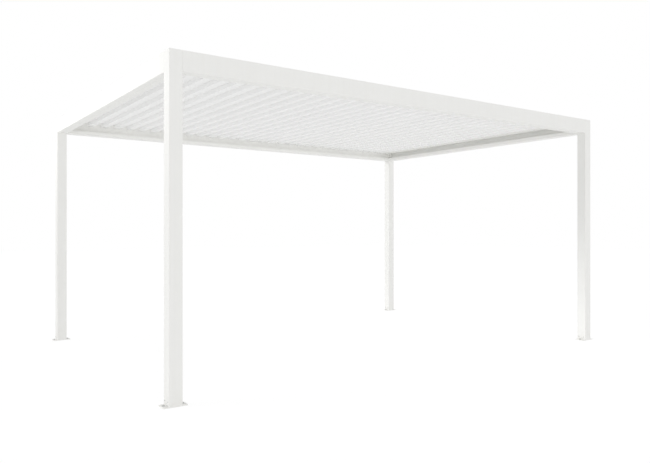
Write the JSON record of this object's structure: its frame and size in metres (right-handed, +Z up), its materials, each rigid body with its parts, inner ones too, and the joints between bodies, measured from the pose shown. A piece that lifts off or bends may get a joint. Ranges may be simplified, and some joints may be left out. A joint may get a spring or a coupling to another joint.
{
  "type": "pergola with a louvred roof",
  "caption": "Free-standing rectangular pergola: corner posts on foot plates, box beams with inner gutters, and a flat roof of tilting louvres that close against rain.",
  "frame": {"origin": "on the ground under the middle of the roof", "axes": "+X along the long side to the right seen from the front, +Y to the back, +Z up"},
  "size_m": [5.08, 3.5, 2.5],
  "materials": {
    "frame_coat": "satin",
    "louvre_coat": "satin"
  },
  "bodies": {
    "frame": {"foot_plate_front_left": "frame_coat", "foot_plate_front_right": "frame_coat", "foot_plate_back_left": "frame_coat", "foot_plate_back_right": "frame_coat", "post_front_left": "frame_coat", "post_front_right": "frame_coat", "post_back_left": "frame_coat", "post_back_right": "frame_coat", "post_spigots": "frame_coat", "post_caps": "frame_coat", "front_beam": "frame_coat", "back_beam": "frame_coat", "left_beam": "frame_coat", "right_beam": "frame_coat", "front_gutter": "frame_coat", "back_gutter": "frame_coat", "left_gutter": "frame_coat", "right_gutter": "frame_coat", "side_infills": "frame_coat"},
    "louvre_01": {"louvre_01": "louvre_coat"},
    "louvre_02": {"louvre_02": "louvre_coat"},
    "louvre_03": {"louvre_03": "louvre_coat"},
    "louvre_04": {"louvre_04": "louvre_coat"},
    "louvre_05": {"louvre_05": "louvre_coat"},
    "louvre_06": {"louvre_06": "louvre_coat"},
    "louvre_07": {"louvre_07": "louvre_coat"},
    "louvre_08": {"louvre_08": "louvre_coat"},
    "louvre_09": {"louvre_09": "louvre_coat"},
    "louvre_10": {"louvre_10": "louvre_coat"},
    "louvre_11": {"louvre_11": "louvre_coat"},
    "louvre_12": {"louvre_12": "louvre_coat"},
    "louvre_13": {"louvre_13": "louvre_coat"},
    "louvre_14": {"louvre_14": "louvre_coat"},
    "louvre_15": {"louvre_15": "louvre_coat"},
    "louvre_16": {"louvre_16": "louvre_coat"},
    "louvre_17": {"louvre_17": "louvre_coat"},
    "louvre_18": {"louvre_18": "louvre_coat"},
    "louvre_19": {"louvre_19": "louvre_coat"},
    "louvre_20": {"louvre_20": "louvre_coat"},
    "louvre_21": {"louvre_21": "louvre_coat"},
    "louvre_22": {"louvre_22": "louvre_coat"},
    "louvre_23": {"louvre_23": "louvre_coat"},
    "louvre_24": {"louvre_24": "louvre_coat"},
    "louvre_25": {"louvre_25": "louvre_coat"},
    "louvre_26": {"louvre_26": "louvre_coat"},
    "louvre_27": {"louvre_27": "louvre_coat"},
    "louvre_28": {"louvre_28": "louvre_coat"},
    "louvre_29": {"louvre_29": "louvre_coat"},
    "louvre_30": {"louvre_30": "louvre_coat"},
    "louvre_31": {"louvre_31": "louvre_coat"}
  },
  "joints": [
    {"name": "louvre_01_tilt", "type": "hinge", "parent": "frame", "child": "louvre_01", "pos_m": [-2.23, 0, 2.48], "axis": [0, -1, 0], "range_deg": [0, 90]},
    {"name": "louvre_02_tilt", "type": "hinge", "parent": "frame", "child": "louvre_02", "pos_m": [-2.08, 0, 2.48], "axis": [0, -1, 0], "range_deg": [0, 90]},
    {"name": "louvre_03_tilt", "type": "hinge", "parent": "frame", "child": "louvre_03", "pos_m": [-1.93, 0, 2.48], "axis": [0, -1, 0], "range_deg": [0, 90]},
    {"name": "louvre_04_tilt", "type": "hinge", "parent": "frame", "child": "louvre_04", "pos_m": [-1.78, 0, 2.48], "axis": [0, -1, 0], "range_deg": [0, 90]},
    {"name": "louvre_05_tilt", "type": "hinge", "parent": "frame", "child": "louvre_05", "pos_m": [-1.63, 0, 2.48], "axis": [0, -1, 0], "range_deg": [0, 90]},
    {"name": "louvre_06_tilt", "type": "hinge", "parent": "frame", "child": "louvre_06", "pos_m": [-1.48, 0, 2.48], "axis": [0, -1, 0], "range_deg": [0, 90]},
    {"name": "louvre_07_tilt", "type": "hinge", "parent": "frame", "child": "louvre_07", "pos_m": [-1.33, 0, 2.48], "axis": [0, -1, 0], "range_deg": [0, 90]},
    {"name": "louvre_08_tilt", "type": "hinge", "parent": "frame", "child": "louvre_08", "pos_m": [-1.18, 0, 2.48], "axis": [0, -1, 0], "range_deg": [0, 90]},
    {"name": "louvre_09_tilt", "type": "hinge", "parent": "frame", "child": "louvre_09", "pos_m": [-1.03, 0, 2.48], "axis": [0, -1, 0], "range_deg": [0, 90]},
    {"name": "louvre_10_tilt", "type": "hinge", "parent": "frame", "child": "louvre_10", "pos_m": [-0.88, 0, 2.48], "axis": [0, -1, 0], "range_deg": [0, 90]},
    {"name": "louvre_11_tilt", "type": "hinge", "parent": "frame", "child": "louvre_11", "pos_m": [-0.73, 0, 2.48], "axis": [0, -1, 0], "range_deg": [0, 90]},
    {"name": "louvre_12_tilt", "type": "hinge", "parent": "frame", "child": "louvre_12", "pos_m": [-0.58, 0, 2.48], "axis": [0, -1, 0], "range_deg": [0, 90]},
    {"name": "louvre_13_tilt", "type": "hinge", "parent": "frame", "child": "louvre_13", "pos_m": [-0.43, 0, 2.48], "axis": [0, -1, 0], "range_deg": [0, 90]},
    {"name": "louvre_14_tilt", "type": "hinge", "parent": "frame", "child": "louvre_14", "pos_m": [-0.28, 0, 2.48], "axis": [0, -1, 0], "range_deg": [0, 90]},
    {"name": "louvre_15_tilt", "type": "hinge", "parent": "frame", "child": "louvre_15", "pos_m": [-0.13, 0, 2.48], "axis": [0, -1, 0], "range_deg": [0, 90]},
    {"name": "louvre_16_tilt", "type": "hinge", "parent": "frame", "child": "louvre_16", "pos_m": [0.02, 0, 2.48], "axis": [0, -1, 0], "range_deg": [0, 90]},
    {"name": "louvre_17_tilt", "type": "hinge", "parent": "frame", "child": "louvre_17", "pos_m": [0.17, 0, 2.48], "axis": [0, -1, 0], "range_deg": [0, 90]},
    {"name": "louvre_18_tilt", "type": "hinge", "parent": "frame", "child": "louvre_18", "pos_m": [0.32, 0, 2.48], "axis": [0, -1, 0], "range_deg": [0, 90]},
    {"name": "louvre_19_tilt", "type": "hinge", "parent": "frame", "child": "louvre_19", "pos_m": [0.47, 0, 2.48], "axis": [0, -1, 0], "range_deg": [0, 90]},
    {"name": "louvre_20_tilt", "type": "hinge", "parent": "frame", "child": "louvre_20", "pos_m": [0.62, 0, 2.48], "axis": [0, -1, 0], "range_deg": [0, 90]},
    {"name": "louvre_21_tilt", "type": "hinge", "parent": "frame", "child": "louvre_21", "pos_m": [0.77, 0, 2.48], "axis": [0, -1, 0], "range_deg": [0, 90]},
    {"name": "louvre_22_tilt", "type": "hinge", "parent": "frame", "child": "louvre_22", "pos_m": [0.92, 0, 2.48], "axis": [0, -1, 0], "range_deg": [0, 90]},
    {"name": "louvre_23_tilt", "type": "hinge", "parent": "frame", "child": "louvre_23", "pos_m": [1.07, 0, 2.48], "axis": [0, -1, 0], "range_deg": [0, 90]},
    {"name": "louvre_24_tilt", "type": "hinge", "parent": "frame", "child": "louvre_24", "pos_m": [1.22, 0, 2.48], "axis": [0, -1, 0], "range_deg": [0, 90]},
    {"name": "louvre_25_tilt", "type": "hinge", "parent": "frame", "child": "louvre_25", "pos_m": [1.37, 0, 2.48], "axis": [0, -1, 0], "range_deg": [0, 90]},
    {"name": "louvre_26_tilt", "type": "hinge", "parent": "frame", "child": "louvre_26", "pos_m": [1.52, 0, 2.48], "axis": [0, -1, 0], "range_deg": [0, 90]},
    {"name": "louvre_27_tilt", "type": "hinge", "parent": "frame", "child": "louvre_27", "pos_m": [1.67, 0, 2.48], "axis": [0, -1, 0], "range_deg": [0, 90]},
    {"name": "louvre_28_tilt", "type": "hinge", "parent": "frame", "child": "louvre_28", "pos_m": [1.82, 0, 2.48], "axis": [0, -1, 0], "range_deg": [0, 90]},
    {"name": "louvre_29_tilt", "type": "hinge", "parent": "frame", "child": "louvre_29", "pos_m": [1.97, 0, 2.48], "axis": [0, -1, 0], "range_deg": [0, 90]},
    {"name": "louvre_30_tilt", "type": "hinge", "parent": "frame", "child": "louvre_30", "pos_m": [2.12, 0, 2.48], "axis": [0, -1, 0], "range_deg": [0, 90]},
    {"name": "louvre_31_tilt", "type": "hinge", "parent": "frame", "child": "louvre_31", "pos_m": [2.27, 0, 2.48], "axis": [0, -1, 0], "range_deg": [0, 90]}
  ],
  "couplings": [
    {"joint": "louvre_02_tilt", "follows": "louvre_01_tilt", "ratio": 1},
    {"joint": "louvre_03_tilt", "follows": "louvre_01_tilt", "ratio": 1},
    {"joint": "louvre_04_tilt", "follows": "louvre_01_tilt", "ratio": 1},
    {"joint": "louvre_05_tilt", "follows": "louvre_01_tilt", "ratio": 1},
    {"joint": "louvre_06_tilt", "follows": "louvre_01_tilt", "ratio": 1},
    {"joint": "louvre_07_tilt", "follows": "louvre_01_tilt", "ratio": 1},
    {"joint": "louvre_08_tilt", "follows": "louvre_01_tilt", "ratio": 1},
    {"joint": "louvre_09_tilt", "follows": "louvre_01_tilt", "ratio": 1},
    {"joint": "louvre_10_tilt", "follows": "louvre_01_tilt", "ratio": 1},
    {"joint": "louvre_11_tilt", "follows": "louvre_01_tilt", "ratio": 1},
    {"joint": "louvre_12_tilt", "follows": "louvre_01_tilt", "ratio": 1},
    {"joint": "louvre_13_tilt", "follows": "louvre_01_tilt", "ratio": 1},
    {"joint": "louvre_14_tilt", "follows": "louvre_01_tilt", "ratio": 1},
    {"joint": "louvre_15_tilt", "follows": "louvre_01_tilt", "ratio": 1},
    {"joint": "louvre_16_tilt", "follows": "louvre_01_tilt", "ratio": 1},
    {"joint": "louvre_17_tilt", "follows": "louvre_01_tilt", "ratio": 1},
    {"joint": "louvre_18_tilt", "follows": "louvre_01_tilt", "ratio": 1},
    {"joint": "louvre_19_tilt", "follows": "louvre_01_tilt", "ratio": 1},
    {"joint": "louvre_20_tilt", "follows": "louvre_01_tilt", "ratio": 1},
    {"joint": "louvre_21_tilt", "follows": "louvre_01_tilt", "ratio": 1},
    {"joint": "louvre_22_tilt", "follows": "louvre_01_tilt", "ratio": 1},
    {"joint": "louvre_23_tilt", "follows": "louvre_01_tilt", "ratio": 1},
    {"joint": "louvre_24_tilt", "follows": "louvre_01_tilt", "ratio": 1},
    {"joint": "louvre_25_tilt", "follows": "louvre_01_tilt", "ratio": 1},
    {"joint": "louvre_26_tilt", "follows": "louvre_01_tilt", "ratio": 1},
    {"joint": "louvre_27_tilt", "follows": "louvre_01_tilt", "ratio": 1},
    {"joint": "louvre_28_tilt", "follows": "louvre_01_tilt", "ratio": 1},
    {"joint": "louvre_29_tilt", "follows": "louvre_01_tilt", "ratio": 1},
    {"joint": "louvre_30_tilt", "follows": "louvre_01_tilt", "ratio": 1},
    {"joint": "louvre_31_tilt", "follows": "louvre_01_tilt", "ratio": 1}
  ]
}
